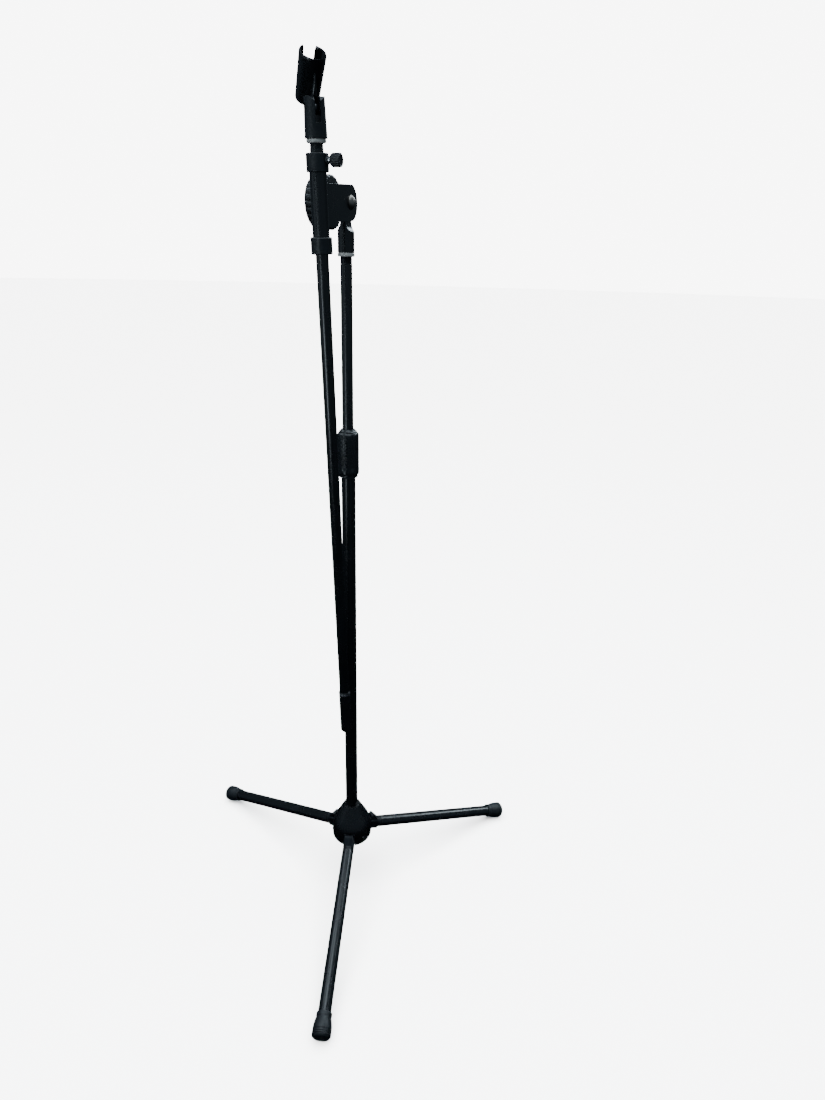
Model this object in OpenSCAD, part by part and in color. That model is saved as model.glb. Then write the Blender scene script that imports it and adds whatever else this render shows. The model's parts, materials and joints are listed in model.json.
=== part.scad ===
// Boom microphone stand: folding tripod, telescopic mast, tilting boom and clip.
// Millimetres, +Z up. The origin is on the floor, straight below the mast axis.
// One leg points along -Y; the legs, the boom and the clip are drawn as set up.

/* [Tripod] */
// Azimuth of the first leg, the others follow at equal angles
leg_azimuth = -90; // [-120:1:-60]
// Distance of each leg's fold pin from the mast axis
leg_pivot_r = 24; // [23.9:0.1:24.5]
// Height of the fold pins above the floor
leg_pivot_z = 100; // [99:0.5:101]
// Distance from the fold pin to the end of the rubber foot
leg_length = 320; // [305:1:321]
// Slope of the opened legs below the horizontal
leg_droop = 15.9; // [15.6:0.1:16.4]
// Outside radius of the leg tubes
leg_r = 10; // [9.5:0.1:10]
// Largest radius of the rubber feet
foot_r = 14.6; // [13.9:0.1:15]
// Length of the rubber feet
foot_length = 34; // [32:1:40]
// Largest radius of the hub
hub_r = 35.5; // [35:0.1:37]

/* [Mast] */
// Outside radius of the fixed lower tube
lower_mast_r = 10.5; // [10.3:0.1:10.5]
// Outside radius of the telescopic upper tube and of the boom
upper_mast_r = 8; // [7.8:0.1:8.1]
// Height of the lower edge of the height clutch
clutch_z = 773.5; // [730:0.5:800]
// Radius of the height clutch's grip
grip_r = 16; // [15:0.1:18]
// Height of the upper mast tube's lower end
upper_mast_z0 = 350; // [330:1:380]
// Height of the boom's tilt axis above the floor
pivot_z = 1142; // [1110:1:1170]

/* [Boom] */
// Direction in which the boom sleeve stands off from the mast
head_azimuth = -104; // [-150:1:-60]
// Lean of the boom away from the vertical
boom_lean = 4.35; // [4:0.05:4.35]
// Distance from the tilt axis to the boom's axis
boom_offset = 82; // [81:0.5:86]
// Length of the boom below the tilt axis
boom_below = 800; // [780:1:800]
// Radius of the ribbed tilt knob
knob_r = 33; // [28:0.5:36]
// Radius of the counterweight
weight_r = 9.3; // [9:0.05:9.5]
// Length of the counterweight
weight_length = 83; // [60:1:100]

/* [Microphone clip] */
// Direction of the clip's tilt plane, from the sleeve's stand-off direction
clip_direction = 43; // [0:0.5:90]
// Lean of the clip away from the boom's axis
clip_lean = 36; // [20:0.5:50]
// Radius of the clip's inner land, which grips the microphone
clip_land_r = 12.2; // [12:0.1:13]
// Length of the clip's barrel
clip_length = 52; // [48:1:54]

/* [Hidden] */
$fn = 96;

// Overlap used where a cut has to run past a face
cut = 1;
// Gap between faces of pieces that move against each other
gap = 0.35;
// Radial clearance of a running fit
fit = 0.06;

black_paint = [0.07, 0.08, 0.09];
black_gloss = [0.04, 0.04, 0.05];
black_rubber = [0.12, 0.12, 0.13];
black_plastic = [0.09, 0.10, 0.11];
grey_plastic = [0.62, 0.62, 0.60];
bright_steel = [0.72, 0.73, 0.75];
black_steel = [0.15, 0.15, 0.16];
bronze = [0.35, 0.28, 0.22];
brass = [0.72, 0.58, 0.28];

// ---- Tripod values ----
leg_count = 3;
pin_r = 3;
pin_reach = 20;
tongue_half = 9.3;
slot_half = tongue_half + 0.4;
root_half_height = 9.5;
root_edge_r = 12;
root_end = 25.5;
ring_end = 28;
tube_start = 31;
root_plug_end = 62;
tube_wall = 1.2;
slot_roof = 12.35;
stop_lug_top = slot_roof - gap;
foot_edge = 5;
foot_neck_r = 12;
foot_socket = 28;

socket_r = lower_mast_r + 0.05;
core_r = 14.2;
hub_bottom = 79.5;
hub_top = 155.5;
hub_rim_r = 15.2;
hub_belly_z = 102.5;
hub_shoulder_r = 58;
hub_shoulder_angle = 28;
hub_edge_r = 14;
socket_floor = 89;
mast_screw_r = 4;
screw_head_r = 6.5;
screw_head_h = 5;

// ---- Mast values ----
lower_mast_bore = lower_mast_r - 1.2;
upper_mast_bore = upper_mast_r - 1.5;
lower_mast_top = clutch_z + 38;
grip_z0 = clutch_z + 4.5;
grip_z1 = clutch_z + 60;
clutch_thread_r = 12.7;
upper_mast_top = pivot_z - 74;
lock_ring_z0 = pivot_z - 65;
lock_ring_z1 = pivot_z - 60;
stud_r = 7.9;
stud_top = pivot_z - 44;
post_r = 11.1;
post_z0 = lock_ring_z1 + 0.1;

// ---- Head values, measured from the tilt axis ----
ear_half = 3.5;
ear_r = 19;
front_scoop_r = 16;
back_scoop_r = 12;
scoop_z = -22;
bolt_r = 4;
disc_half = 5;
cheek_half = 7.7;
cheek_r = 22;
cheek_top = 21;
web_x0 = 44;
web_bottom = -27.4;
sleeve_r = 10.3;
sleeve_bore = 9;
sleeve_bottom = -57.5;
sleeve_top = 51.9;
upper_collar_r = 13.3;
upper_collar_z0 = 32;
lower_collar_r = 13.2;
lower_collar_z1 = -38.2;
bush_length = 19;
clamp_z = 44.4;
clamp_r = 3;
clamp_knob_r = 7.6;
clamp_knob_y0 = 17.6;
clamp_knob_y1 = 30.4;
knob_y0 = -15.5;
knob_y1 = -47.5;
knob_ribs = 24;
insert_r = 7;
insert_end = 36;

// ---- Boom and clip values, measured from the tilt axis along the boom ----
boom_top = 55.7;
weight_cap = 9;
clip_ring_z0 = 61.9;
clip_ring_z1 = 66.4;
clip_base_z0 = 66.5;
clip_base_z1 = 107.6;
clip_hinge_z = 96;
clip_base_r0 = 13.2;
clip_base_r1 = 12;
clip_slot_half = 3.4;
clip_slot_floor = 81.6;
clip_fork_r = 13.4;
clip_stud_top = 78;
clip_bolt_r = 2.5;
clip_eye_r = 6.3;
clip_ear_half = 3;
clip_offset = 28.2;
clip_s0 = -6.5;
clip_wall = 1.8;
clip_flare = 1.6;
clip_land_length = 18;
clip_gap_angle = 27;

// ---- Frames ----
function leg_angle(i) = leg_azimuth + (i - 1) * 360 / leg_count;

module at_leg(i)
    rotate([0, 0, leg_angle(i)]) translate([leg_pivot_r, 0, leg_pivot_z])
        rotate([0, leg_droop, 0]) children();

module at_head()
    translate([0, 0, pivot_z]) rotate([0, 0, head_azimuth]) children();

module at_arm()
    at_head() rotate([0, boom_lean, 0]) children();

module at_boom()
    at_arm() translate([boom_offset, 0, 0]) children();

module at_fork()
    at_boom() rotate([0, 0, clip_direction]) children();

module at_clip()
    at_fork() translate([0, 0, clip_hinge_z]) rotate([0, clip_lean, 0]) children();

// ---- Shared shapes ----
module rod(r, z0, z1)
    translate([0, 0, z0]) cylinder(h = z1 - z0, r = r);

module pipe(r_out, r_in, z0, z1)
    difference() {
        rod(r_out, z0, z1);
        rod(r_in, z0 - cut, z1 + cut);
    }

// A straight rod along X, or along Y, between two stations
module rod_x(r, x0, x1)
    rotate([0, 90, 0]) rod(r, x0, x1);

module rod_y(r, y0, y1)
    rotate([-90, 0, 0]) rod(r, min(y0, y1), max(y0, y1));

module span(x0, x1, y0, y1, z0, z1)
    translate([x0, y0, z0]) cube([x1 - x0, y1 - y0, z1 - z0]);

// Points of an arc, from one angle to the other
function arc(centre, r, a0, a1, steps) =
    [for (k = [0 : steps]) let(a = a0 + (a1 - a0) * k / steps)
        [centre[0] + r * cos(a), centre[1] + r * sin(a)]];

// A ring with bevelled rims
module bevelled_ring(r_out, r_in, z0, z1, bevel)
    rotate_extrude()
        polygon([
            [r_in, z0], [r_out - bevel, z0], [r_out, z0 + bevel],
            [r_out, z1 - bevel], [r_out - bevel, z1], [r_in, z1]
        ]);

// A cylinder with fine grooves around it, read as a screw thread
module threaded(r, z0, z1, pitch)
    rotate_extrude()
        polygon(concat(
            [[0, z0], [r, z0]],
            [for (z = [z0 + pitch : pitch : z1 - pitch / 2], k = [0 : 2])
                [k == 1 ? r - 0.45 : r, z + (k - 1) * pitch * 0.3]],
            [[r, z1], [0, z1]]
        ));

// ---- Tripod ----
module hub_bell() {
    shoulder = [hub_r - hub_shoulder_r, hub_belly_z];
    edge = [hub_r - hub_edge_r, hub_bottom + hub_edge_r];
    rotate_extrude()
        polygon(concat(
            [[0, hub_bottom]],
            arc(edge, hub_edge_r, -90, 0, 9),
            arc(shoulder, hub_shoulder_r, 0, hub_shoulder_angle, 9),
            [[hub_rim_r, hub_top - 1.2], [hub_rim_r - 0.8, hub_top], [0, hub_top]]
        ));
}

module hub()
    color(black_gloss) difference() {
        hub_bell();
        rod(socket_r, socket_floor, hub_top + cut);
        rod(mast_screw_r + 0.2, hub_bottom - cut, socket_floor + cut);
        rod(screw_head_r + 0.3, hub_bottom - cut, hub_bottom + screw_head_h);
        for (i = [1 : leg_count]) rotate([0, 0, leg_angle(i)]) {
            span(core_r, hub_r + cut, -slot_half, slot_half, hub_bottom - cut, leg_pivot_z + slot_roof);
            translate([leg_pivot_r, 0, leg_pivot_z]) rod_y(pin_r + 0.02, -pin_reach - 0.3, hub_r);
        }
    }

module leg_pins()
    color(bright_steel)
        for (i = [1 : leg_count]) rotate([0, 0, leg_angle(i)])
            translate([leg_pivot_r, 0, leg_pivot_z]) rod_y(pin_r, -pin_reach, pin_reach + 4);

module mast_screw()
    color(bright_steel) difference() {
        union() {
            rod(screw_head_r, hub_bottom + 0.2, hub_bottom + screw_head_h);
            rod(mast_screw_r, hub_bottom + screw_head_h, socket_floor + 18);
        }
        translate([0, 0, hub_bottom]) cylinder(h = 6, r = 3, center = true, $fn = 6);
    }

module mast_end_plug()
    color(bright_steel)
        pipe(lower_mast_bore - 0.03, mast_screw_r + 0.03, socket_floor + 0.1, socket_floor + 24);

module leg_root(i)
    color(black_plastic) at_leg(i) difference() {
        union() {
            intersection() {
                union() {
                    rod_y(root_half_height, -tongue_half, tongue_half);
                    span(0, root_end, -tongue_half, tongue_half, -root_half_height, root_half_height);
                }
                rod_x(root_edge_r, -root_half_height - cut, root_end);
            }
            rotate([0, -leg_droop, 0])
                span(3.5, 11, -tongue_half, tongue_half, 0, stop_lug_top);
            leg_gusset();
            rod_x(leg_r, root_end, ring_end);
            rod_x(leg_r - 1, ring_end - cut, tube_start);
            rod_x(leg_r - tube_wall - 0.03, tube_start - cut, root_plug_end);
        }
        rod_y(pin_r + fit, -tongue_half - cut, tongue_half + cut);
    }

// The rib on top of each leg root, just outside the hub
module leg_gusset()
    rotate([90, 0, 0]) translate([0, 0, -tongue_half + 2])
        linear_extrude(height = 2 * tongue_half - 4)
            polygon([[9, 6], [9.5, 17], [12, 19], [15, 17.5], [root_end, 9], [root_end, 6]]);

module leg_tube(i)
    color(black_paint) at_leg(i) difference() {
        rod_x(leg_r, tube_start, leg_length - foot_length + foot_socket);
        rod_x(leg_r - tube_wall, tube_start - cut, leg_length);
    }

module leg_foot(i)
    color(black_rubber) difference() {
        at_leg(i) rotate([0, 90, 0]) translate([0, 0, leg_length - foot_length]) difference() {
            rotate_extrude()
                polygon(concat(
                    [[0, 0], [foot_neck_r - 0.6, 0], [foot_neck_r, 0.8], [foot_neck_r, 5]],
                    [[foot_r - 0.8, foot_length * 0.55]],
                    arc([foot_r - foot_edge, foot_length - foot_edge], foot_edge, 0, 90, 6),
                    [[0, foot_length]]
                ));
            rod(leg_r + 0.02, -cut, foot_socket);
        }
        span(-500, 500, -500, 500, -20, 0);
    }

// ---- Mast ----
module lower_mast_tube()
    color(black_paint)
        pipe(lower_mast_r, lower_mast_bore, socket_floor + 0.1, lower_mast_top);

module clutch_body()
    color(black_plastic) difference() {
        union() {
            rod(14, clutch_z, grip_z0 - gap);
            rod(clutch_thread_r, clutch_z, lower_mast_top + 8);
        }
        rod(lower_mast_r + 0.02, clutch_z - cut, lower_mast_top + 0.02);
        rod(upper_mast_r + 0.4, clutch_z, lower_mast_top + 9);
        translate([0, 0, lower_mast_top + 2.5]) cylinder(h = 6, r1 = 8.8, r2 = 11.6);
    }

module clutch_collet()
    color(grey_plastic) difference() {
        translate([0, 0, lower_mast_top + 3.2]) union() {
            cylinder(h = 5.2, r1 = 8.9, r2 = 11.2);
            rod(11.2, 5.2, 10);
        }
        rod(upper_mast_r + fit, lower_mast_top, lower_mast_top + 20);
        for (k = [0 : 3]) rotate([0, 0, 90 * k + 20])
            span(0, 14, -0.8, 0.8, lower_mast_top, lower_mast_top + 9);
    }

module clutch_grip() {
    scallops = 8;
    shoulder_r = 5.5;
    cavity_top = lower_mast_top + 14;
    color(black_rubber) difference() {
        rotate_extrude()
            polygon(concat(
                [[upper_mast_r + 0.4, grip_z0], [grip_r - 0.8, grip_z0], [grip_r, grip_z0 + 1]],
                arc([grip_r - shoulder_r, grip_z1 + 2], shoulder_r, 0, 62, 7),
                [[12.6, grip_z1 + 7.2], [upper_mast_r + 0.4, grip_z1 + 7.2]]
            ));
        rod(clutch_thread_r + fit, grip_z0 - cut, lower_mast_top + 8.5);
        rod(11.6, grip_z0, cavity_top);
        for (k = [0 : scallops - 1]) rotate([0, 0, 360 * k / scallops - 15])
            translate([grip_r + 3.2, 0, 0]) rod(4.2, grip_z0 + 8, grip_z1 + 6);
    }
}

module clutch_top_ring()
    color(black_plastic)
        rotate_extrude()
            polygon([
                [upper_mast_r + 0.4, grip_z1 + 7.3], [12.9, grip_z1 + 7.3], [12.9, grip_z1 + 8.5],
                [11.6, grip_z1 + 9.2], [9.8, grip_z1 + 11.3], [upper_mast_r + 0.4, grip_z1 + 11.5]
            ]);

module upper_mast_tube()
    color(black_paint) pipe(upper_mast_r, upper_mast_bore, upper_mast_z0, upper_mast_top);

module mast_guide_bush()
    color(black_plastic) difference() {
        union() {
            rod(lower_mast_bore - 0.08, upper_mast_z0 - 12, upper_mast_z0 - 0.05);
            rod(upper_mast_bore - 0.03, upper_mast_z0 - cut, upper_mast_z0 + 20);
        }
        rod(4, upper_mast_z0 - 20, upper_mast_z0 + 21);
    }

module mast_stud()
    color(black_steel) {
        threaded(stud_r, upper_mast_top + 0.05, stud_top, 1.6);
        rod(upper_mast_bore - 0.03, upper_mast_top - 25, upper_mast_top + 0.05);
    }

module mast_lock_ring()
    color(grey_plastic) bevelled_ring(11.3, stud_r + fit, lock_ring_z0, lock_ring_z1, 1);

// ---- Head ----
module swivel_post()
    color(black_gloss) at_head() difference() {
        union() {
            difference() {
                rod(post_r, post_z0 - pivot_z, scoop_z);
                translate([0, ear_half + front_scoop_r, scoop_z]) rod_x(front_scoop_r, -20, 20);
                translate([0, -ear_half - back_scoop_r, scoop_z]) rod_x(back_scoop_r, -20, 20);
            }
            rod_y(ear_r, -ear_half, ear_half);
            intersection() {
                rod(post_r, scoop_z - 12, 0);
                span(-20, 20, -ear_half, ear_half, scoop_z - 12, 0);
            }
        }
        rod_y(bolt_r + fit, -20, 20);
        rod(stud_r + fit, post_z0 - pivot_z - cut, stud_top - pivot_z + 0.5);
    }

module boom_bracket()
    color(black_paint) at_arm() difference() {
        union() {
            for (side = [0, 1]) mirror([0, side, 0]) {
                rod_y(cheek_r, disc_half, cheek_half);
                span(0, web_x0 + cut, disc_half, cheek_half, -cheek_r, cheek_top);
            }
            span(web_x0, boom_offset - 3, -cheek_half, cheek_half, web_bottom, cheek_top);
        }
        span(-cheek_r - cut, web_x0, -20, 20, cheek_top, cheek_r + cut);
        translate([boom_offset, 0, 0]) rod(sleeve_r + 0.02, -40, 40);
        rod_y(bolt_r + 0.05, -20, 20);
    }

module friction_discs()
    color(grey_plastic) at_arm()
        for (side = [-1, 1]) difference() {
            rod_y(17, side * (ear_half + 0.1), side * disc_half);
            rod_y(bolt_r + 0.2, -20, 20);
        }

module pivot_bolt()
    color(bronze) at_arm() {
        rod_y(bolt_r, -33, cheek_half + 0.5);
        rotate([-90, 0, 0]) translate([0, 0, cheek_half + 0.02])
            rotate_extrude()
                polygon(concat([[0, 0], [8.7, 0], [8.7, 0.5]], arc([0, -3.63], 9.63, 25.4, 90, 8)));
    }

module tilt_washer()
    color(bright_steel) at_arm() difference() {
        rod_y(11, -cheek_half - 0.3, -cheek_half - 2);
        rod_y(bolt_r + fit, -20, 20);
    }

module tilt_knob_insert()
    color(brass) at_arm() difference() {
        rod_y(insert_r, -cheek_half - 2.1, -insert_end);
        rod_y(bolt_r + fit, 0, -40);
    }

module tilt_knob()
    color(black_plastic) at_arm() difference() {
        rotate([90, 0, 0]) rotate_extrude()
            polygon(concat(
                [[insert_r + 0.03, cheek_half + 2.2], [12, cheek_half + 2.2], [13.5, -knob_y0]],
                arc([knob_r - 3, -knob_y0 + 3], 3, -90, 0, 4),
                arc([knob_r - 9, -knob_y1 - 9], 8, 10, 80, 6),
                [[0, -knob_y1 - 1.5], [0, insert_end + 0.05], [insert_r + 0.03, insert_end + 0.05]]
            ));
        for (k = [0 : knob_ribs - 1]) rotate([0, 360 * k / knob_ribs, 0])
            translate([knob_r + 0.4, 0, 0]) rod_y(1.8, knob_y0 - 4, knob_y1 - cut);
    }

module sleeve_tube()
    color(black_paint) at_boom() difference() {
        pipe(sleeve_r, sleeve_bore, sleeve_bottom, sleeve_top);
        translate([0, 0, clamp_z]) rod_y(clamp_r + fit, 0, 20);
    }

module sleeve_upper_collar()
    color(black_plastic) at_boom() difference() {
        union() {
            bevelled_ring(upper_collar_r, sleeve_r + 0.02, upper_collar_z0, sleeve_top, 0.7);
            translate([0, 0, clamp_z]) difference() {
                rod_y(5, sleeve_r + 1, upper_collar_r + 0.8);
                rod(sleeve_r + 0.02, -10, 10);
            }
        }
        translate([0, 0, clamp_z]) rod_y(clamp_r + fit, 0, 20);
    }

module sleeve_lower_collar()
    color(black_plastic) at_boom()
        bevelled_ring(lower_collar_r, sleeve_r + 0.02, sleeve_bottom, lower_collar_z1, 0.7);

module sleeve_bush(z0)
    difference() {
        pipe(sleeve_bore - 0.03, upper_mast_r + fit, z0, z0 + bush_length);
        translate([0, 0, clamp_z]) rod_y(clamp_r + fit, 0, 20);
    }

module sleeve_upper_bush()
    color(grey_plastic) at_boom() sleeve_bush(sleeve_top - bush_length - 0.4);

module sleeve_lower_bush()
    color(grey_plastic) at_boom() sleeve_bush(sleeve_bottom + 0.4);

module clamp_pad()
    color(black_rubber) at_boom() translate([0, 0, clamp_z])
        rod_y(2.5, upper_mast_r + 0.3, upper_mast_r + 1.5);

module clamp_screw()
    color(bright_steel) at_boom() translate([0, 0, clamp_z]) {
        rod_y(clamp_r, upper_mast_r + 1.6, clamp_knob_y1 - 3);
        rod_y(4.4, clamp_knob_y0 - 1.2, clamp_knob_y0 - 0.05);
    }

module clamp_knob()
    color(black_plastic) at_boom() translate([0, 0, clamp_z]) difference() {
        rotate([-90, 0, 0]) rotate_extrude()
            polygon([
                [0, clamp_knob_y0], [clamp_knob_r - 1.2, clamp_knob_y0], [clamp_knob_r, clamp_knob_y0 + 1],
                [clamp_knob_r, clamp_knob_y1 - 1.5], [clamp_knob_r - 1.4, clamp_knob_y1],
                [0, clamp_knob_y1]
            ]);
        rod_y(clamp_r + 0.02, clamp_knob_y0 - cut, clamp_knob_y1 - 2.9);
    }

// ---- Boom ----
module boom_tube()
    color(black_paint) at_boom() pipe(upper_mast_r, upper_mast_bore, -boom_below, boom_top);

module boom_tip_stud()
    color(black_paint) at_boom() {
        threaded(stud_r, boom_top + 0.05, clip_stud_top, 1.6);
        rod(upper_mast_bore - 0.03, boom_top - 25, boom_top + 0.05);
    }

module counterweight() {
    z0 = -boom_below - weight_cap;
    z1 = z0 + weight_length;
    color(black_paint) at_boom() difference() {
        rotate_extrude()
            polygon([
                [0, z0], [weight_r - 3, z0], [weight_r, z0 + 4],
                [weight_r, z1 - 1.5], [weight_r - 1.4, z1], [0, z1]
            ]);
        rod(upper_mast_r + 0.02, -boom_below - 0.02, z1 + cut);
        pipe(weight_r + 1, weight_r - 0.7, z1 - 5.5, z1 - 2.5);
    }
}

module counterweight_ring() {
    z1 = -boom_below - weight_cap + weight_length;
    color(bright_steel) at_boom() pipe(weight_r + 0.1, weight_r - 0.68, z1 - 5.45, z1 - 2.55);
}

// ---- Clip ----
module clip_lock_ring()
    color(grey_plastic) at_boom() bevelled_ring(11.6, stud_r + fit, clip_ring_z0, clip_ring_z1, 1);

module clip_insert()
    color(brass) at_boom() pipe(9.6, stud_r + fit, clip_base_z0 + 0.3, clip_stud_top + 0.6);

module clip_base()
    color(black_plastic) at_fork() difference() {
        translate([0, 0, clip_base_z0])
            cylinder(h = clip_base_z1 - clip_base_z0, r1 = clip_base_r0, r2 = clip_base_r1);
        span(-20, 20, -clip_slot_half, clip_slot_half, clip_slot_floor, clip_base_z1 + cut);
        rod(9.63, clip_base_z0 - cut, clip_stud_top + 0.7);
        translate([0, 0, clip_hinge_z]) {
            difference() {
                span(-20, 20, -20, 20, 0, 20);
                rod_y(clip_fork_r, -21, 21);
            }
            rod_y(clip_bolt_r + 0.02, -20, 20);
            rod_y(4.8, 9.3, 20);
            rod_y(4.8, -9.3, -20);
        }
    }

module mic_clip() {
    z1 = clip_s0 + clip_length;
    bottom_r = clip_land_r + clip_wall;
    gap_reach = 30 * tan(clip_gap_angle);
    color(black_plastic) at_clip() difference() {
        union() {
            difference() {
                translate([-clip_offset, 0, 0]) rotate_extrude()
                    polygon([
                        [clip_land_r, clip_s0], [bottom_r, clip_s0], [bottom_r + clip_flare, z1],
                        [clip_land_r + clip_flare + 0.4, z1],
                        [clip_land_r, clip_s0 + clip_land_length]
                    ]);
                translate([-clip_offset, 0, clip_s0 - cut])
                    linear_extrude(height = clip_length + 2 * cut)
                        polygon([[0, 0], [-30, gap_reach], [-30, -gap_reach]]);
            }
            rod_y(clip_eye_r, -clip_ear_half, clip_ear_half);
            rotate([90, 0, 0]) translate([0, 0, -clip_ear_half])
                linear_extrude(height = 2 * clip_ear_half)
                    polygon([
                        [3, -5.5], [5.6, 2.8], [-10, 28], [-13.6, 30], [-14.3, clip_s0 + 1], [-4, -4.8]
                    ]);
        }
        rod_y(clip_bolt_r + fit, -20, 20);
    }
}

module clip_hinge_bolt()
    color(black_steel) at_fork() translate([0, 0, clip_hinge_z]) {
        rod_y(clip_bolt_r, -11.6, 10);
        rod_y(4.4, 9.32, 11.6);
    }

module clip_hinge_nut()
    color(black_steel) at_fork() translate([0, 0, clip_hinge_z]) difference() {
        rotate([90, 0, 0]) translate([0, 0, 9.35]) cylinder(h = 2, r = 4.6, $fn = 6);
        rod_y(clip_bolt_r + 0.02, -20, 20);
    }

hub();
leg_pins();
mast_screw();
mast_end_plug();
leg_root(1);  // leg_1_root
leg_tube(1);  // leg_1_tube
leg_foot(1);  // leg_1_foot
leg_root(2);  // leg_2_root
leg_tube(2);  // leg_2_tube
leg_foot(2);  // leg_2_foot
leg_root(3);  // leg_3_root
leg_tube(3);  // leg_3_tube
leg_foot(3);  // leg_3_foot
lower_mast_tube();
clutch_body();
clutch_collet();
clutch_grip();
clutch_top_ring();
upper_mast_tube();
mast_guide_bush();
mast_stud();
mast_lock_ring();
swivel_post();
boom_bracket();
friction_discs();
pivot_bolt();
tilt_washer();
tilt_knob();
tilt_knob_insert();
sleeve_tube();
sleeve_upper_collar();
sleeve_lower_collar();
sleeve_upper_bush();
sleeve_lower_bush();
clamp_pad();
clamp_screw();
clamp_knob();
boom_tube();
boom_tip_stud();
counterweight();
counterweight_ring();
clip_lock_ring();
clip_base();
clip_insert();
mic_clip();
clip_hinge_bolt();
clip_hinge_nut();
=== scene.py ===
import json
import math

import bmesh
import bpy
from mathutils import Matrix, Vector


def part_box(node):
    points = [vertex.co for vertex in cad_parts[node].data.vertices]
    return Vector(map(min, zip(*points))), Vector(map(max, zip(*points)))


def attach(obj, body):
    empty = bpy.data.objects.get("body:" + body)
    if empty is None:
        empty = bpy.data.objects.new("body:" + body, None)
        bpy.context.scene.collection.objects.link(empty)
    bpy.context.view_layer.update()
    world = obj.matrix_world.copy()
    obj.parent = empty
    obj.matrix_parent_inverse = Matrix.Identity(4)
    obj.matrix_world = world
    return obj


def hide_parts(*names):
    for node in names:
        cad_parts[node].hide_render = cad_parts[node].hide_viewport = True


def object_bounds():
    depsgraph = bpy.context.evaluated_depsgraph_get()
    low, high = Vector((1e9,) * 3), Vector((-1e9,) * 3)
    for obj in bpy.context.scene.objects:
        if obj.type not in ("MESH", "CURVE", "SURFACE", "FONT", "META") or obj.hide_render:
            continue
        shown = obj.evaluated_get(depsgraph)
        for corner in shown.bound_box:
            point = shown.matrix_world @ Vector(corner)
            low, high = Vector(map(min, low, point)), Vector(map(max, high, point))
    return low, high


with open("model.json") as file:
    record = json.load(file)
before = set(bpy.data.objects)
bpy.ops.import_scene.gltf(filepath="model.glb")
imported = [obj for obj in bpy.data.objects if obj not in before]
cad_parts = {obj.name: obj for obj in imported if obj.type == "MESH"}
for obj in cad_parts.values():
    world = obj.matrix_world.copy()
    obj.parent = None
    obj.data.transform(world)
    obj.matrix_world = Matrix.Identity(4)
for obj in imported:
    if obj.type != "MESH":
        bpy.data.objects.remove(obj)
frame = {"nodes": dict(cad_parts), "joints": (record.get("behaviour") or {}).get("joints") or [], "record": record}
cad_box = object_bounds()
NODES = frame["nodes"]
RECORD = frame["record"]
JOINTS = {joint["name"]: joint for joint in frame["joints"]}
MOUNTS = {mount["name"]: mount for mount in RECORD["mounts"]}
SLOT_OF = {part["node"]: part["material_slot"] for part in RECORD["subparts"]}
MM = 0.001
# points closer than this are taken as one
TOUCH = 1e-6


# ---- Camera, in metres and degrees, with its lens in millimetres ----
CAMERA_PLACE = Vector((0.1514, -1.0109, 1.0698))
CAMERA_HEADING = 92.969
CAMERA_DROP = 22.099
CAMERA_ROLL = 1.505
CAMERA_LENS = 23.025


def set_camera():
    heading, drop, roll = (math.radians(a) for a in (CAMERA_HEADING, CAMERA_DROP, CAMERA_ROLL))
    flat = Vector((math.cos(heading), math.sin(heading), 0))
    forward = flat * math.cos(drop) - Vector((0, 0, math.sin(drop)))
    level = Vector((math.sin(heading), -math.cos(heading), 0))
    upright = level.cross(forward)
    right = math.cos(roll) * level + math.sin(roll) * upright
    up = math.cos(roll) * upright - math.sin(roll) * level
    data = bpy.data.cameras.new("camera")
    data.lens = CAMERA_LENS
    data.sensor_width = 36
    camera = bpy.data.objects.new("camera", data)
    bpy.context.scene.collection.objects.link(camera)
    turn = Matrix((right, up, -forward)).transposed().to_4x4()
    camera.matrix_world = Matrix.Translation(CAMERA_PLACE) @ turn
    bpy.context.scene.camera = camera


# ---- Shader helpers ----
def map_range(tree, value, low, high, out_low, out_high):
    """Carries a value from one range over to another and stops it at the ends."""
    node = tree.nodes.new("ShaderNodeMapRange")
    node.clamp = True
    tree.links.new(value, node.inputs["Value"])
    for key, number in zip(("From Min", "From Max", "To Min", "To Max"), (low, high, out_low, out_high)):
        node.inputs[key].default_value = number
    return node.outputs["Result"]


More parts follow.
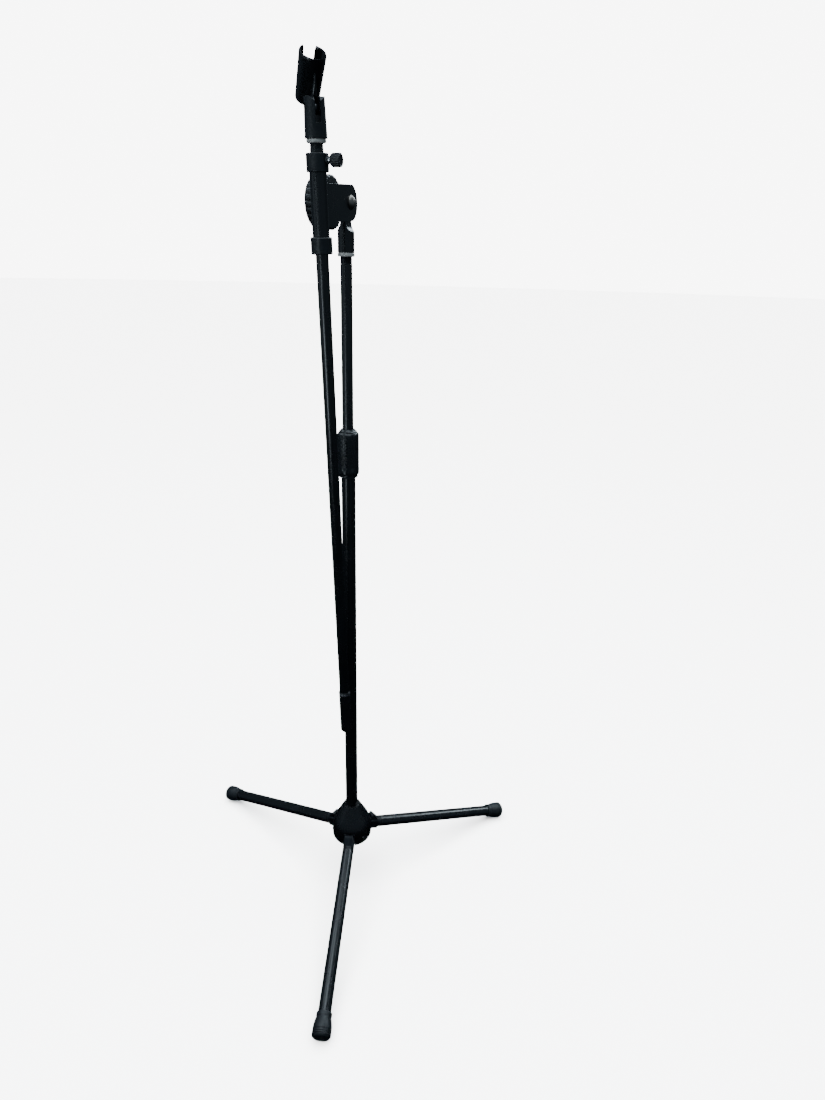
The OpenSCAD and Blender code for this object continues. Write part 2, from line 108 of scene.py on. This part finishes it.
class Shader:
    """A material whose nodes are added one at a time, starting from a Principled surface."""

    def __init__(self, name):
        self.material = bpy.data.materials.new(name)
        self.material.use_nodes = True
        self.tree = self.material.node_tree
        self.surface = self.tree.nodes["Principled BSDF"]
        coordinates = self.add("ShaderNodeTexCoord")
        self.place = coordinates.outputs["Object"]
        self.normal = coordinates.outputs["Normal"]

    def add(self, kind, **settings):
        node = self.tree.nodes.new(kind)
        for key, value in settings.items():
            setattr(node, key, value)
        return node

    def link(self, source, target):
        self.tree.links.new(source, target)

    def set(self, **values):
        for key, value in values.items():
            self.surface.inputs[key.replace("_", " ")].default_value = value

    def noise(self, scale, detail, stretch=None):
        texture = self.add("ShaderNodeTexNoise")
        texture.inputs["Scale"].default_value = scale
        texture.inputs["Detail"].default_value = detail
        texture.inputs["Roughness"].default_value = 0.55
        place = self.place
        if stretch:
            mapping = self.add("ShaderNodeMapping")
            mapping.inputs["Scale"].default_value = stretch
            self.link(place, mapping.inputs["Vector"])
            place = mapping.outputs["Vector"]
        self.link(place, texture.inputs["Vector"])
        return texture.outputs["Fac"]

    def spread(self, value, low, high, out_low=0.0, out_high=1.0):
        return map_range(self.tree, value, low, high, out_low, out_high)

    def blend(self, factor, first, second):
        """Mixes two colours, each a tuple or another node's output, by a factor."""
        node = self.add("ShaderNodeMix", data_type="RGBA")
        for socket, value in ((node.inputs[0], factor), (node.inputs[6], first), (node.inputs[7], second)):
            if isinstance(value, bpy.types.NodeSocket):
                self.link(value, socket)
            else:
                socket.default_value = (*value, 1) if isinstance(value, tuple) else value
        return node.outputs[2]

    def times(self, first, second):
        """Multiplies two values, each a number or another node's output."""
        node = self.add("ShaderNodeMath", operation="MULTIPLY")
        for socket, value in zip(node.inputs, (first, second)):
            if isinstance(value, bpy.types.NodeSocket):
                self.link(value, socket)
            else:
                socket.default_value = value
        return node.outputs[0]

    def upward(self, low, high):
        """How far a surface faces up in its own rest position, where dust settles, and on the feet also where a
        painted highlight of the overhead light is laid.
        """
        split = self.add("ShaderNodeSeparateXYZ")
        self.link(self.normal, split.inputs[0])
        return self.spread(split.outputs["Z"], low, high)

    def height(self):
        split = self.add("ShaderNodeSeparateXYZ")
        self.link(self.place, split.inputs[0])
        return split.outputs["Z"]

    def relief(self, *layers, edge):
        """Bump layers as (height, strength, distance), over edges softened to the given radius."""
        soft = self.add("ShaderNodeBevel", samples=4)
        soft.inputs["Radius"].default_value = edge
        normal = soft.outputs["Normal"]
        for height, strength, distance in layers:
            bump = self.add("ShaderNodeBump")
            bump.inputs["Strength"].default_value = strength
            bump.inputs["Distance"].default_value = distance
            self.link(height, bump.inputs["Height"])
            self.link(normal, bump.inputs["Normal"])
            normal = bump.outputs["Normal"]
        self.link(normal, self.surface.inputs["Normal"])

    def colour(self, value):
        self.link(value, self.surface.inputs["Base Color"])

    def roughness(self, value):
        self.link(value, self.surface.inputs["Roughness"])


# ---- Materials, one for each of the record's slots ----
def powder_coat():
    s = Shader("powder_coat")
    broad = s.noise(9, detail=4)
    speck = s.noise(1900, detail=1)
    body = s.blend(s.spread(broad, 0.35, 0.7), (0.0036, 0.0046, 0.0058), (0.0062, 0.008, 0.01))
    body = s.blend(s.spread(speck, 0.62, 0.8, 0, 0.4), body, (0.018, 0.0215, 0.025))
    # settled dust: a lighter tone on faces that point up
    lighter_on_top = s.times(s.upward(0.8, 1.0), s.spread(s.noise(140, detail=5), 0.45, 0.8, 0, 0.2))
    body = s.blend(lighter_on_top, body, (0.042, 0.05, 0.058))
    rub = s.spread(s.noise(60, detail=6, stretch=(1, 1, 0.12)), 0.62, 0.78, 0, 0.16)
    s.colour(s.blend(rub, body, (0.03, 0.036, 0.042)))
    s.roughness(s.spread(s.noise(45, detail=4), 0.3, 0.75, 0.21, 0.31))
    s.set(Specular_IOR_Level=0.5)
    s.relief((s.noise(1500, detail=2), 0.05, 0.0002), (broad, 0.02, 0.002), edge=0.0005)
    return s.material


def hub_enamel():
    s = Shader("hub_enamel")
    broad = s.noise(26, detail=4)
    body = s.blend(s.spread(broad, 0.35, 0.7), (0.0016, 0.0022, 0.0028), (0.0034, 0.0044, 0.0056))
    # settled dust: a lighter tone on faces that point up
    lighter_on_top = s.times(s.upward(0.3, 0.95), s.spread(s.noise(210, detail=5), 0.48, 0.82, 0, 0.14))
    s.colour(s.blend(lighter_on_top, body, (0.035, 0.041, 0.047)))
    s.roughness(s.spread(s.noise(90, detail=4), 0.3, 0.75, 0.22, 0.34))
    s.set(Specular_IOR_Level=0.45, Coat_Weight=0.15, Coat_Roughness=0.12)
    s.relief((s.noise(300, detail=3), 0.04, 0.0004), edge=0.0009)
    return s.material


def moulded(name, dark, light, rough, grain, depth, edge, specular=0.4):
    """Black moulded plastic: a fine grain, slight cloudiness, and lighter rubbed spots."""
    s = Shader(name)
    body = s.blend(s.spread(s.noise(38, detail=4), 0.35, 0.7), dark, light)
    rub = s.spread(s.noise(170, detail=6, stretch=(1, 1, 0.3)), 0.62, 0.8, 0, 0.3)
    s.colour(s.blend(rub, body, tuple(3.2 * c for c in light)))
    s.roughness(s.spread(s.noise(120, detail=3), 0.3, 0.75, *rough))
    s.set(Specular_IOR_Level=specular)
    s.relief((s.noise(grain, detail=2), depth, 0.0003), edge=edge)
    return s.material


def black_plastic():
    return moulded("black_plastic", dark=(0.0048, 0.0066, 0.0086), light=(0.0085, 0.0115, 0.0148),
                   rough=(0.32, 0.46), grain=1300, depth=0.1, edge=0.0006)


def clip_plastic():
    return moulded("clip_plastic", dark=(0.0034, 0.0044, 0.0056), light=(0.0064, 0.0082, 0.01),
                   rough=(0.2, 0.3), grain=260, depth=0.03, edge=0.0005, specular=0.5)


def knob_plastic():
    return moulded("knob_plastic", dark=(0.0062, 0.0076, 0.009), light=(0.0105, 0.0128, 0.015),
                   rough=(0.3, 0.44), grain=1100, depth=0.08, edge=0.0005)


def grip_plastic():
    return moulded("grip_plastic", dark=(0.0048, 0.0062, 0.0078), light=(0.0085, 0.0108, 0.0132),
                   rough=(0.22, 0.34), grain=900, depth=0.05, edge=0.0006, specular=0.5)


def foot_rubber():
    s = Shader("foot_rubber")
    body = s.blend(s.spread(s.noise(60, detail=5), 0.35, 0.72), (0.006, 0.008, 0.01), (0.0115, 0.0146, 0.018))
    near_floor = s.spread(s.height(), 0.001, 0.014, 1, 0)
    grime = s.times(near_floor, s.spread(s.noise(300, detail=6), 0.4, 0.75, 0, 0.6))
    body = s.blend(grime, body, (0.11, 0.105, 0.1))
    # lighter tone on faces that point up: partly settled dust, partly a painted highlight of the overhead light on
    # the feet's tops
    lighter_on_top = s.times(s.upward(0.35, 0.95), s.spread(s.noise(260, detail=5), 0.42, 0.8, 0, 0.28))
    s.colour(s.blend(lighter_on_top, body, (0.05, 0.06, 0.07)))
    s.roughness(s.spread(s.noise(150, detail=4), 0.3, 0.75, 0.42, 0.58))
    s.set(Specular_IOR_Level=0.5)
    s.relief((s.noise(900, detail=4), 0.35, 0.0004), edge=0.0005)
    return s.material


def grey_plastic():
    s = Shader("grey_plastic")
    body = s.blend(s.spread(s.noise(70, detail=4), 0.35, 0.72), (0.54, 0.51, 0.47), (0.7, 0.67, 0.62))
    grime = s.spread(s.noise(240, detail=6, stretch=(1, 1, 2)), 0.58, 0.8, 0, 0.45)
    s.colour(s.blend(grime, body, (0.2, 0.195, 0.18)))
    s.roughness(s.spread(s.noise(160, detail=3), 0.3, 0.75, 0.42, 0.58))
    s.relief((s.noise(1600, detail=2), 0.15, 0.0003), edge=0.0005)
    return s.material


def metal(name, dark, light, rough, streak, worn=None):
    """Metal with fine turning marks and cloudy plating, and worn spots where a colour is given."""
    s = Shader(name)
    body = s.blend(s.spread(s.noise(130, detail=5), 0.35, 0.7), dark, light)
    if worn:
        body = s.blend(s.spread(s.noise(220, detail=6), 0.6, 0.76, 0, 0.7), body, worn)
    s.colour(body)
    s.set(Metallic=1.0)
    s.roughness(s.spread(s.noise(340, detail=4, stretch=streak), 0.3, 0.75, *rough))
    s.relief((s.noise(2200, detail=2, stretch=streak), 0.1, 0.0002), edge=0.0004)
    return s.material


def bright_steel():
    return metal("bright_steel", dark=(0.52, 0.53, 0.55), light=(0.68, 0.69, 0.71),
                 rough=(0.2, 0.36), streak=(1, 1, 6))


def bronze_steel():
    return metal("bronze_steel", dark=(0.2, 0.18, 0.16), light=(0.3, 0.272, 0.245),
                 rough=(0.34, 0.48), streak=(1, 1, 3), worn=(0.4, 0.34, 0.27))


def black_steel():
    return metal("black_steel", dark=(0.025, 0.026, 0.029), light=(0.045, 0.047, 0.052),
                 rough=(0.32, 0.48), streak=(1, 1, 3), worn=(0.12, 0.12, 0.125))


def brass():
    return metal("brass", dark=(0.6, 0.42, 0.17), light=(0.76, 0.57, 0.27),
                 rough=(0.2, 0.34), streak=(1, 1, 8))


MAKERS = (powder_coat, hub_enamel, black_plastic, clip_plastic, knob_plastic, grip_plastic,
          foot_rubber, grey_plastic, bright_steel, bronze_steel, black_steel, brass)
FINISH = {maker.__name__: maker() for maker in MAKERS}


def dress(thing, slot_name):
    thing.data.materials.clear()
    thing.data.materials.append(FINISH[slot_name])


# ---- Geometry helpers ----
def along(node, origin, axis):
    """A CAD node's span along an axis and its greatest radius about it."""
    origin, axis = Vector(origin), Vector(axis).normalized()
    spans, radii = [], []
    for vertex in NODES[node].data.vertices:
        step = vertex.co - origin
        spans.append(step.dot(axis))
        radii.append((step - axis * step.dot(axis)).length)
    return min(spans), max(spans), max(radii)


def basis(origin, axis, side):
    """A turn and a shift that put local Z on an axis and local X towards a side direction."""
    axis = Vector(axis).normalized()
    side = (Vector(side) - axis * Vector(side).dot(axis)).normalized()
    turn = Matrix((side, axis.cross(side), axis)).transposed().to_4x4()
    return Matrix.Translation(Vector(origin)) @ turn


def about(joint):
    """A turn and a shift that put local Z on a joint's axis, with its origin at the joint."""
    along_x = abs(Vector(joint["axis"]).normalized().x) > 0.7
    return basis(joint["pos_m"], joint["axis"], (0, 1, 0) if along_x else (1, 0, 0))


def arc(centre, radius, start, end, steps):
    """Points of a profile arc as (radius, height) pairs, angles in degrees."""
    angles = [math.radians(start + (end - start) * k / steps) for k in range(steps + 1)]
    return [(centre[0] + radius * math.cos(a), centre[1] + radius * math.sin(a)) for a in angles]


def piece(name, bm, place, node, body, crease=40):
    """Turns a bmesh into a piece that stands for a CAD node and rides with its body."""
    bmesh.ops.remove_doubles(bm, verts=bm.verts, dist=TOUCH)
    bmesh.ops.recalc_face_normals(bm, faces=bm.faces)
    bm.transform(place)
    mesh = bpy.data.meshes.new(name)
    bm.to_mesh(mesh)
    bm.free()
    mesh.shade_smooth()
    mesh.set_sharp_from_angle(angle=math.radians(crease))
    thing = bpy.data.objects.new(name, mesh)
    bpy.context.scene.collection.objects.link(thing)
    dress(thing, SLOT_OF[node])
    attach(thing, body)
    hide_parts(node)


def lathe(profile, sides=96, shape=None, closed=False):
    """A turned form from (radius, height) points; shape may vary each radius with its angle."""
    bm = bmesh.new()
    rings = []
    for radius, height in profile:
        if radius < TOUCH:
            rings.append([bm.verts.new((0, 0, height))])
            continue
        ring = []
        for k in range(sides):
            angle = 2 * math.pi * k / sides
            r = shape(radius, height, angle) if shape else radius
            ring.append(bm.verts.new((r * math.cos(angle), r * math.sin(angle), height)))
        rings.append(ring)
    pairs = list(zip(rings, rings[1:]))
    if closed:
        pairs.append((rings[-1], rings[0]))
    for low, high in pairs:
        for k in range(sides):
            j = (k + 1) % sides
            if len(low) == 1:
                bm.faces.new((low[0], high[k], high[j]))
            elif len(high) == 1:
                bm.faces.new((low[k], high[0], low[j]))
            else:
                bm.faces.new((low[k], high[k], high[j], low[j]))
    return bm


def bridge(bm, rings):
    """Joins each closed ring of vertices to the next."""
    for first, second in zip(rings, rings[1:]):
        for k in range(len(first)):
            j = (k + 1) % len(first)
            bm.faces.new((first[k], first[j], second[j], second[k]))


# ---- Rubber feet ----
def leg_line(number):
    """A leg's fold pin, the start of its tube, and the tube's direction away from the hub."""
    pivot = Vector(JOINTS[f"leg_{number}_fold"]["pos_m"])
    away = Vector((pivot.x, pivot.y, 0)).normalized()
    part_way = 200 * MM
    points = [v.co for v in NODES[f"leg_{number}_tube"].data.vertices]
    inner = [p for p in points if (p - pivot).dot(away) < part_way]
    outer = [p for p in points if (p - pivot).dot(away) > part_way]
    start = sum(inner, Vector()) / len(inner)
    stop = sum(outer, Vector()) / len(outer)
    return pivot, start, (stop - start).normalized()


def foot_profile(bore, radius, length):
    """A foot's outline: a collar at its mouth, a swelling belly, three grooves and a dished tip."""
    neck, mouth_round = 12.0 * MM, 0.8 * MM
    collar_end, collar_step = 0.15 * length, 0.5 * MM
    waist, waist_start = neck - 0.4 * MM, collar_end + 1.6 * MM
    belly, belly_start = radius - 0.3 * MM, 0.6 * length
    profile = [(bore, 0.0)]
    profile += arc((neck - mouth_round, mouth_round), mouth_round, -90, 0, 4)
    profile += [(neck, collar_end), (neck - collar_step, collar_end + collar_step), (waist, waist_start)]
    swell_steps = 8
    for k in range(1, swell_steps + 1):
        t = k / swell_steps
        profile.append((waist + (belly - waist) * math.sin(t * math.pi / 2),
                        waist_start + (belly_start - waist_start) * t))
    land_r, groove_r = radius - 0.2 * MM, radius - 1.0 * MM
    land_width, groove_width, groove_slope = 2.2 * MM, 1.2 * MM, 0.35 * MM
    for k in range(3):
        start = belly_start + land_width + k * (land_width + groove_width)
        stop = start + groove_width
        profile += [(land_r, start), (groove_r, start + groove_slope),
                    (groove_r, stop - groove_slope), (land_r, stop)]
    side, tip, tip_round = radius - 0.1 * MM, length - 0.1 * MM, 5.1 * MM
    dish_r, dish_slope, dish_floor = radius - 6.2 * MM, 0.8 * MM, tip - 1.5 * MM
    profile += arc((side - tip_round, tip - tip_round), tip_round, 0, 84, 10)
    profile += [(dish_r + dish_slope, tip), (dish_r, dish_floor), (0.0, dish_floor)]
    return profile


def make_foot(number):
    node = f"leg_{number}_foot"
    pivot, tube_start, axis = leg_line(number)
    near, end, radius = along(node, pivot, axis)
    bore = along(f"leg_{number}_tube", tube_start, axis)[2] + 0.02 * MM
    bm = lathe(foot_profile(bore, radius, end - near), sides=64)
    mouth = [v for v in bm.verts if v.co.z < TOUCH and math.hypot(v.co.x, v.co.y) < bore + TOUCH]
    bm.faces.new(sorted(mouth, key=lambda v: math.atan2(v.co.y, v.co.x)))
    place = basis(pivot + axis * near, axis, (0, 0, 1))

    # the floor cuts the foot flat
    back = place.inverted()
    cut = bmesh.ops.bisect_plane(bm, geom=bm.verts[:] + bm.edges[:] + bm.faces[:],
                                 plane_co=back @ Vector((0, 0, 0)),
                                 plane_no=back.to_3x3() @ Vector((0, 0, 1)), clear_inner=True)
    rim = [e for e in cut["geom_cut"] if isinstance(e, bmesh.types.BMEdge)]
    bmesh.ops.holes_fill(bm, edges=rim)
    piece(f"boot_{number}", bm, place, node, f"leg_{number}")


# ---- Microphone clip, with its angles in degrees ----
CLIP_WALL = 1.8 * MM
CLIP_FLARE = 1.6 * MM
BORE_FLARE = 2.0 * MM
CLIP_LIP = 0.7 * MM
SLOT_HALF_ANGLE = 27
MOUTH_WIDENING = 4
MOUTH_LENGTH = 6 * MM
EYE_R = 6.2 * MM
EYE_BORE = 2.6 * MM
RIB_HALF = 2.95 * MM
RIB_STAND = 13.3 * MM
RIB_BELOW = 7.2 * MM
RIB_ABOVE = 31 * MM
RIB_TAPER_START = 8 * MM
RIB_TAPER = 0.72


def add_barrel(bm, low, high, inner, outer):
    """The split barrel, from points along it, around it and through its wall."""
    rows, steps, layers = 28, 72, 5
    grid = []
    for k in range(rows + 1):
        z = low + (high - low) * k / rows
        inset = max(CLIP_LIP - min(z - low, high - z), 0)
        pinch = CLIP_LIP - math.sqrt(max(CLIP_LIP ** 2 - inset ** 2, 0))
        widening = MOUTH_WIDENING * max(0, (z - high + MOUTH_LENGTH) / MOUTH_LENGTH) ** 2
        reach = math.radians(180 - SLOT_HALF_ANGLE - widening)
        ring = []
        for j in range(steps + 1):
            angle = -reach + 2 * reach * j / steps
            column = []
            for w in range(layers):
                t = w / (layers - 1)
                r = inner(z) + pinch + (outer(z) - inner(z) - 2 * pinch) * t
                column.append(bm.verts.new((r * math.cos(angle), r * math.sin(angle), z)))
            ring.append(column)
        grid.append(ring)

    def add_face(corners):
        bm.faces.new([grid[k][j][w] for k, j, w in corners])

    for k in range(rows):
        for j in range(steps):
            for w in (0, layers - 1):
                add_face(((k, j, w), (k, j + 1, w), (k + 1, j + 1, w), (k + 1, j, w)))
    for w in range(layers - 1):
        for k in range(rows):
            for j in (0, steps):
                add_face(((k, j, w), (k, j, w + 1), (k + 1, j, w + 1), (k + 1, j, w)))
        for j in range(steps):
            for k in (0, rows):
                add_face(((k, j, w), (k, j, w + 1), (k, j + 1, w + 1), (k, j + 1, w)))


def rib_stand(rise):
    """How far the rib stands out of the barrel, by its height above the hinge."""
    if rise < -RIB_BELOW:
        return 0
    if rise < 0:
        return RIB_STAND * math.sqrt(1 - (rise / RIB_BELOW) ** 2)
    return RIB_STAND * max(0, 1 - rise / RIB_ABOVE) ** 0.75


def add_rib(bm, low, hinge, outer):
    """The rib that runs from the hinge's eye up the back of the barrel and fades into it."""
    first, last, steps = low + 1.2 * MM, hinge + RIB_ABOVE, 40
    sunk, least = 0.5 * MM, 0.6 * MM
    rings = []
    for k in range(steps + 1):
        z = first + (last - first) * k / steps
        inside = outer(z) - sunk
        outside = inside + max(rib_stand(z - hinge), least)
        taper = max(0, (z - hinge - RIB_TAPER_START) / (RIB_ABOVE - RIB_TAPER_START))
        width = RIB_HALF * (1 - RIB_TAPER * taper)
        crown = min(0.9 * width, 0.45 * (outside - inside))
        outline = [(inside, -width)]
        for a in range(9):
            angle = math.radians(-90 + 180 * a / 8)
            outline.append((outside - crown + crown * math.cos(angle), width * math.sin(angle)))
        outline.append((inside, width))
        rings.append([bm.verts.new((x, y, z)) for x, y in outline])
    bridge(bm, rings)
    bm.faces.new(rings[0])
    bm.faces.new(list(reversed(rings[-1])))


def add_eye(bm, offset, hinge):
    """The eye about the hinge bolt."""
    sides, chamfer = 40, 0.5 * MM
    profile = ((-RIB_HALF, EYE_R - chamfer), (-RIB_HALF + chamfer, EYE_R), (RIB_HALF - chamfer, EYE_R),
               (RIB_HALF, EYE_R - chamfer), (RIB_HALF, EYE_BORE), (-RIB_HALF, EYE_BORE))
    angles = [2 * math.pi * k / sides for k in range(sides)]
    rings = []
    for y, r in profile:
        rings.append([bm.verts.new((offset + r * math.cos(a), y, hinge + r * math.sin(a))) for a in angles])
    bridge(bm, rings + rings[:1])


def make_clip():
    mount = MOUNTS["mic_socket"]
    centre, axis = Vector(mount["pos_m"]), Vector(mount["axis"]).normalized()
    to_hinge = Vector(JOINTS["clip_tilt"]["pos_m"]) - centre
    hinge = to_hinge.dot(axis)
    side = to_hinge - axis * hinge
    land = mount["dims"]["r_mm"] * MM
    land_top = mount["dims"]["length_mm"] * MM / 2
    offsets = [v.co - centre for v in NODES["mic_clip"].data.vertices]
    heights = [offset.dot(axis) for offset in offsets if offset.dot(side) < 0]
    low, high = min(heights), max(heights)

    def outer(z):
        return land + CLIP_WALL + CLIP_FLARE * (z - low) / (high - low)

    def inner(z):
        return land + BORE_FLARE * max(0, z - land_top) / (high - land_top)

    bm = bmesh.new()
    add_barrel(bm, low, high, inner, outer)
    add_rib(bm, low, hinge, outer)
    add_eye(bm, side.length, hinge)
    piece("clip_shell", bm, basis(centre, axis, side), "mic_clip", "mic_clip", crease=50)


# ---- Knobs and grip ----
def make_tilt_knob():
    joint = JOINTS["tilt_knob_turn"]
    low, high, radius = along("tilt_knob", joint["pos_m"], joint["axis"])
    insert_r = along("tilt_knob_insert", joint["pos_m"], joint["axis"])[2]
    ribs, rib_depth = 24, 1.5 * MM
    rib_start, rib_run = radius - 7 * MM, 5 * MM

    def ribbed(r, z, angle):
        if r < rib_start:
            return r
        wave = abs(math.sin(angle * ribs / 2)) ** 0.6
        return r - rib_depth * (1 - wave) * min(1, (r - rib_start) / rib_run)

    boss_r, boss_round = 12 * MM, 1 * MM
    shoulder, shoulder_round = low + 7.8 * MM, 3 * MM
    crown_r, crown_round = radius - 8.6 * MM, 8 * MM
    cap_r = 12 * MM
    profile = [(insert_r + 0.03 * MM, low)]
    profile += arc((boss_r, low + boss_round), boss_round, -90, 0, 3)
    profile += [(boss_r + 1.2 * MM, shoulder - 1.2 * MM), (boss_r + 2.6 * MM, shoulder)]
    profile += arc((radius - shoulder_round, shoulder + shoulder_round), shoulder_round, -90, 0, 6)
    profile += arc((crown_r, high - crown_round), crown_round, 8, 84, 10)
    profile += [(crown_r - 0.8 * MM, high - 0.1 * MM), (crown_r - 1.8 * MM, high - 1.1 * MM),
                (cap_r, high - 1.5 * MM), (cap_r - 1 * MM, high - 0.7 * MM), (0.0, high - 0.5 * MM)]
    bm = lathe(profile, sides=ribs * 10, shape=ribbed)
    piece("tilt_handwheel", bm, about(joint), "tilt_knob", "tilt_knob")


def make_clamp_knob():
    joint = JOINTS["clamp_screw_turn"]
    low, high, radius = along("clamp_knob", joint["pos_m"], joint["axis"])
    ribs, rib_depth = 18, 0.55 * MM
    collar_r, collar_end = radius - 1.4 * MM, low + 1.6 * MM

    def knurled(r, z, angle):
        if r < collar_r or z < collar_end:
            return r
        return r - rib_depth * (1 - abs(math.sin(angle * ribs / 2)) ** 0.7)

    chamfer, low_round, high_round = 0.8 * MM, 0.9 * MM, 1.2 * MM
    dish_r, dish_floor = radius - 2.6 * MM, high - 1.1 * MM
    profile = [(0.0, low), (collar_r - chamfer, low), (collar_r, low + chamfer / 2)]
    profile.append((collar_r + 0.1 * MM, collar_end))
    profile += arc((radius - low_round, low + 2.7 * MM), low_round, -80, 0, 4)
    profile += arc((radius - high_round, high - high_round), high_round, 0, 80, 5)
    profile += [(dish_r + 0.7 * MM, high - 0.2 * MM), (dish_r, dish_floor), (0.0, dish_floor)]
    bm = lathe(profile, sides=ribs * 8, shape=knurled)
    piece("clamp_thumb_knob", bm, about(joint), "clamp_knob", "clamp_screw")


def make_grip():
    lower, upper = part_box("clutch_grip")
    low, high, radius = lower.z, upper.z, upper.x
    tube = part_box("upper_mast_tube")[1].x
    flutes, phase = 8, math.radians(-15)
    flute_r, flute_centre = 4.2 * MM, radius + 3.2 * MM
    flute_start, flute_run = low + 7 * MM, 2.5 * MM

    def fluted(r, z, angle):
        pitch = 2 * math.pi / flutes
        turn = (angle - phase + pitch / 2) % pitch - pitch / 2
        across = flute_centre * math.sin(turn)
        if abs(across) >= flute_r or r < radius - 4 * MM:
            return r
        floor = flute_centre * math.cos(turn) - math.sqrt(flute_r ** 2 - across ** 2)
        fade = min(1, max(0, (z - flute_start) / flute_run))
        return r - max(0, r - floor) * fade

    skirt_r, skirt_round, rows = 12.8 * MM, 0.9 * MM, 24
    shoulder, shoulder_round = high - 5.2 * MM, 5.5 * MM
    bore = tube + 0.4 * MM
    profile = [(skirt_r, low), (radius - 0.8 * MM, low)]
    profile += arc((radius - skirt_round, low + skirt_round), skirt_round, -80, 0, 3)
    profile += [(radius, low + (shoulder - low) * k / rows) for k in range(2, rows)]
    profile += arc((radius - shoulder_round, shoulder), shoulder_round, 0, 62, 12)
    profile += [(12.5 * MM, high), (bore, high), (bore, high - 4 * MM),
                (11.6 * MM, high - 10 * MM), (skirt_r, low + 35 * MM)]
    bm = lathe(profile, sides=flutes * 24, shape=fluted, closed=True)
    piece("clutch_sleeve", bm, Matrix.Identity(4), "clutch_grip", "clutch_grip")


# ---- Build ----
for name, thing in NODES.items():
    dress(thing, SLOT_OF[name])
for number in (1, 2, 3):
    make_foot(number)
make_clip()
make_tilt_knob()
make_clamp_knob()
make_grip()


# ---- Stage ----
FLOOR_RADIUS = 40
FLOOR_DROP = 0.2 * MM
WASH_POWER = 24
WASH_ANGLE = 1.4
SKY_SEEN = 8
SKY_TINT = (0.62, 0.82, 1.0, 1)


def plain(name, colour, roughness):
    material = bpy.data.materials.new(name)
    material.use_nodes = True
    surface = material.node_tree.nodes["Principled BSDF"]
    surface.inputs["Base Color"].default_value = (*colour, 1)
    surface.inputs["Roughness"].default_value = roughness
    surface.inputs["Specular IOR Level"].default_value = 0.1
    return material


def make_floor():
    """A pale floor that the camera sees, and that the black parts neither mirror nor take light from."""
    bm = bmesh.new()
    bmesh.ops.create_circle(bm, cap_ends=True, radius=FLOOR_RADIUS, segments=96)
    mesh = bpy.data.meshes.new("floor")
    bm.to_mesh(mesh)
    bm.free()
    floor = bpy.data.objects.new("floor", mesh)
    mesh.materials.append(plain("floor", (0.9, 0.9, 0.9), 0.9))
    bpy.context.scene.collection.objects.link(floor)
    floor.location.z = cad_box[0].z - FLOOR_DROP
    floor.visible_glossy = False
    floor.visible_diffuse = False
    return floor


def place_light(data, place, target):
    light = bpy.data.objects.new(data.name, data)
    light.location = place
    light.rotation_mode = "QUATERNION"
    light.rotation_quaternion = (Vector(target) - Vector(place)).to_track_quat("-Z", "Y")
    bpy.context.scene.collection.objects.link(light)
    return light


def make_softbox(name, place, target, size, power, spread):
    data = bpy.data.lights.new(name, "AREA")
    data.shape = "RECTANGLE"
    data.size, data.size_y = size
    data.energy = power
    data.color = COOL
    data.spread = math.radians(spread)
    place_light(data, place, target)


def make_wash(floor):
    """An even light that only the floor receives, so that it stays pale to the horizon."""
    data = bpy.data.lights.new("wash", "SUN")
    data.energy = WASH_POWER
    data.angle = WASH_ANGLE
    light = place_light(data, (0, 0, 5), (0, 0.6, 0))
    group = bpy.data.collections.new("washed")
    group.objects.link(floor)
    light.light_linking.receiver_collection = group


def set_world():
    """White behind the object for the camera; for everything else dim, and darker below and behind."""
    world = bpy.data.worlds.new("world")
    bpy.context.scene.world = world
    world.use_nodes = True
    tree = world.node_tree
    seen = tree.nodes["Background"]
    seen.inputs["Color"].default_value = (1, 1, 1, 1)
    seen.inputs["Strength"].default_value = SKY_SEEN
    direction = tree.nodes.new("ShaderNodeTexCoord")
    split = tree.nodes.new("ShaderNodeSeparateXYZ")
    tree.links.new(direction.outputs["Generated"], split.inputs[0])
    by_height = map_range(tree, split.outputs["Z"], -0.45, -0.05, 0.015, 0.26)
    by_depth = map_range(tree, split.outputs["Y"], -0.3, 0.5, 1.0, 0.3)
    product = tree.nodes.new("ShaderNodeMath")
    product.operation = "MULTIPLY"
    tree.links.new(by_height, product.inputs[0])
    tree.links.new(by_depth, product.inputs[1])
    cast = tree.nodes.new("ShaderNodeBackground")
    cast.inputs["Color"].default_value = SKY_TINT
    tree.links.new(product.outputs[0], cast.inputs["Strength"])
    path = tree.nodes.new("ShaderNodeLightPath")
    mix = tree.nodes.new("ShaderNodeMixShader")
    tree.links.new(path.outputs["Is Camera Ray"], mix.inputs["Fac"])
    tree.links.new(cast.outputs["Background"], mix.inputs[1])
    tree.links.new(seen.outputs["Background"], mix.inputs[2])
    tree.links.new(mix.outputs["Shader"], tree.nodes["World Output"].inputs["Surface"])


COOL = (0.78, 0.91, 1.0)
BASE = (0, 0, 0.3)
HEAD = (0, -0.06, 1.16)
# name, place, target, size, watts, spread in degrees
SOFTBOXES = (
    ("key", (-1.9, 0.7, 3.1), BASE, (1.3, 1.6), 22, 180),
    ("top", (0.1, -0.5, 3.4), (0, 0, 0.6), (1.8, 1.8), 45, 180),
    ("back", (0.6, 1.7, 3.1), BASE, (1.3, 0.9), 30, 180),
    ("right", (2.6, 1.5, 2.4), (0.15, 0.08, 0.06), (1.0, 1.0), 2, 34),
    ("front", (-1.7, -1.7, 2.3), (0, 0, 0.7), (0.9, 0.9), 10, 180),
    ("side", (-2.3, -1.0, 1.0), HEAD, (0.9, 1.2), 0.16, 60),
    ("low", (-1.0, -1.8, 0.42), HEAD, (0.6, 0.6), 0.42, 34),
    ("glint", (0.96, 2.5, 2.48), HEAD, (0.7, 0.7), 1.8, 60),
)

set_camera()
make_wash(make_floor())
set_world()
for softbox in SOFTBOXES:
    make_softbox(*softbox)

bpy.context.view_layer.update()
